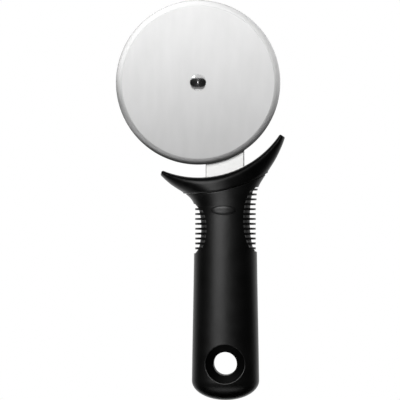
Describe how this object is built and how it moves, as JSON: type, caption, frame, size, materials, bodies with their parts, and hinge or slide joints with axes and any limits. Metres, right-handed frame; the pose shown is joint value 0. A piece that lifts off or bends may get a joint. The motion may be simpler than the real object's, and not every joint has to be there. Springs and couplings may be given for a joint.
{
  "type": "pizza cutter wheel",
  "caption": "Hand-held pizza cutter: a sharpened disc on a riveted axle, a curved thumb guard and a soft grip with finned side scoops and a hanging hole.",
  "frame": {"origin": "centre of the hanging hole, at mid-depth of the handle", "axes": "+Z from the hanging hole towards the cutting wheel, +X to the right and -Y to the front, the side with the rivet's dished head"},
  "size_m": [0.1043, 0.0276, 0.2471],
  "materials": {
    "blade_steel": "satin stainless, ground bevel",
    "rivet_steel": "polished stainless",
    "bush_plastic": "natural white acetal",
    "cast_arm": "satin plated zinc casting",
    "hard_black": "smooth glossy black",
    "core_black": "smooth black",
    "soft_black": "soft matte black",
    "pin_steel": "bright ground steel"
  },
  "bodies": {
    "handle": {"yoke_arm": "cast_arm", "thumb_guard": "hard_black", "handle_core": "core_black", "grip_sleeve": "soft_black", "tang_pins": "pin_steel", "rivet_post": "rivet_steel", "rivet_cap": "rivet_steel", "front_washer": "rivet_steel", "rear_washer": "rivet_steel"},
    "wheel": {"cutting_wheel": "blade_steel", "wheel_bush": "bush_plastic"}
  },
  "joints": [
    {"name": "wheel_spin", "type": "hinge", "parent": "handle", "child": "wheel", "pos_m": [-0.0168, 0, 0.17365], "axis": [0, -1, 0], "continuous": true}
  ]
}
